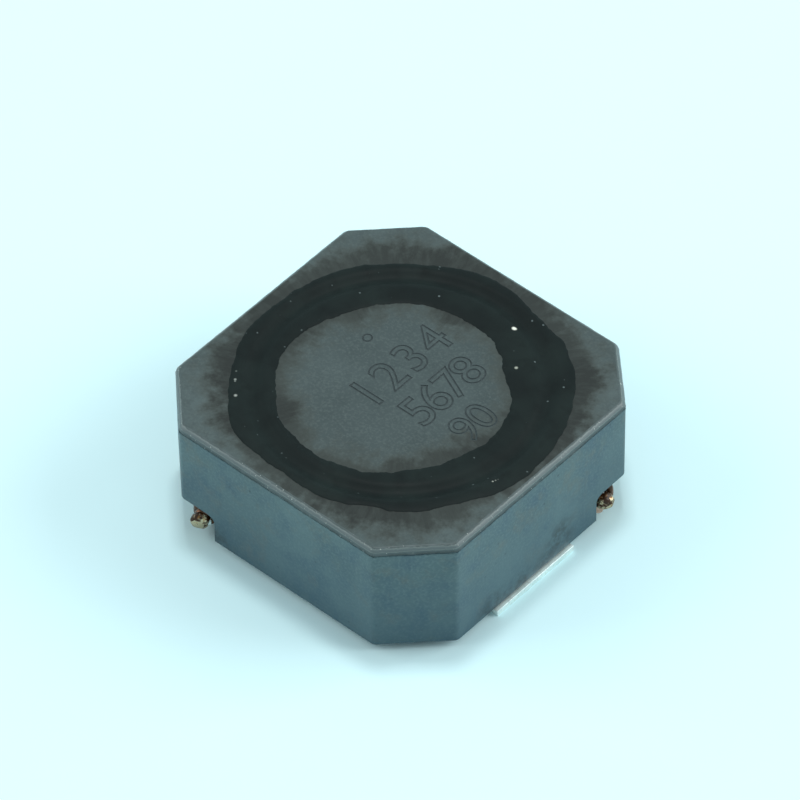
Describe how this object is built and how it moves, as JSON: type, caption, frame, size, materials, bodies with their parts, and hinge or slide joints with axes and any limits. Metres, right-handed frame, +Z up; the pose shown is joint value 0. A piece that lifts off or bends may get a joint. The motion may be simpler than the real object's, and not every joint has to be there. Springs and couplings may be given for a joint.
{
  "type": "shielded smd inductor",
  "caption": "Low square power inductor with cut corners: a wound ferrite drum inside a ferrite shield ring, black resin in the round gap, two flat solder pads underneath.",
  "frame": {"origin": "centre of the part, on the plane of the solder pads' underside", "axes": "+Z up, through the round core; +X towards the side where the start terminal's pad shows, so the pads lie at +X and -X; +Y across. The wire notches are at the (+X,+Y) and (-X,-Y) corners"},
  "size_m": [0.0104, 0.0104, 0.0041],
  "materials": {
    "ferrite_ring": "dark grey sintered ferrite, ground top, satin",
    "ferrite_drum": "dark grey sintered ferrite, fine ground face, satin",
    "enamelled_wire": "clear enamel over copper",
    "tinned_sheet": "matt tin plate",
    "solder": "bright tin solder with brown flux",
    "black_resin": "black epoxy, satin",
    "amber_glue": "cured glue"
  },
  "bodies": {
    "root": {"shield_ring": "ferrite_ring", "drum_core": "ferrite_drum", "winding_wire": "enamelled_wire", "terminal_start": "tinned_sheet", "terminal_finish": "tinned_sheet", "solder_start_near": "solder", "solder_start_far": "solder", "solder_finish_near": "solder", "solder_finish_far": "solder", "gap_resin": "black_resin", "base_glue_start": "amber_glue", "base_glue_finish": "amber_glue"}
  },
  "joints": []
}
